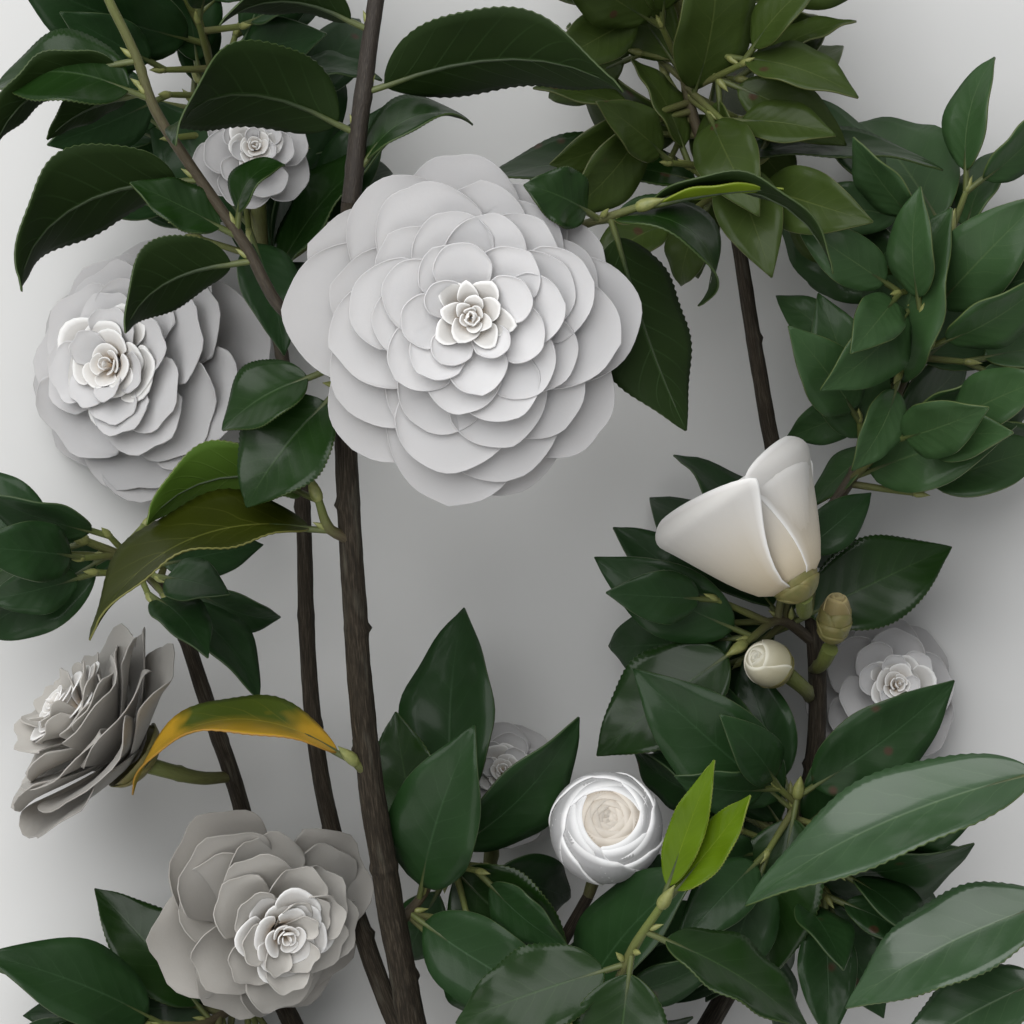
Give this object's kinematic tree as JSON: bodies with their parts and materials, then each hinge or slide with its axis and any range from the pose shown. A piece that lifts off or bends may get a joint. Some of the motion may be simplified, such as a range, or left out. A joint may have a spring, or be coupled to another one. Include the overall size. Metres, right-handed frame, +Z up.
{
  "type": "cut camellia branch",
  "caption": "Cut branch of a garden camellia with white formal double blooms, glossy leaves, buds and a young shoot, lying on its back.",
  "frame": {"origin": "middle of the underside of the box around the branch as it lies", "axes": "+Z up, out of the faces of the blooms; +Y along the branch from its cut end to its tips; +X to the right seen from above"},
  "size_m": [0.3266, 0.4416, 0.1553],
  "materials": {
    "bark": "matte, fine fibred bark",
    "leaf": "glossy above, matt below",
    "gold_leaf": "glossy above, matt below",
    "young_leaf": "satin",
    "petal": "soft, waxy matt",
    "aged_petal": "soft, waxy matt"
  },
  "bodies": {
    "root": {"main_stem": "bark", "bough_left_inner": "bark", "bough_left_outer": "bark", "bough_bud": "bark", "bough_right": "bark", "bough_shoot": "bark", "bough_right_front": "bark", "spray_top": "leaf", "spray_upper_left": "leaf", "spray_upper_right": "leaf", "spray_bloom_left": "leaf", "spray_mid_left": "leaf", "spray_gold": "gold_leaf", "spray_shoot": "young_leaf", "spray_right_front": "leaf", "spray_left_inner": "leaf", "spray_left_outer": "leaf", "spray_left_low": "leaf", "spray_stem_low": "leaf", "spray_bud": "leaf", "spray_right_low": "leaf", "spray_right_mid": "leaf", "spray_right_side": "leaf", "spray_right_top": "leaf", "bloom_main": "petal", "bloom_left_upper": "petal", "bloom_left_lower": "petal", "bloom_bottom": "petal", "bloom_right": "aged_petal", "bloom_right_low": "petal", "bloom_back_mid": "petal", "bloom_back_top": "petal", "bloom_half_open": "petal", "bud_cream": "petal", "bud_brown": "aged_petal"}
  },
  "joints": []
}
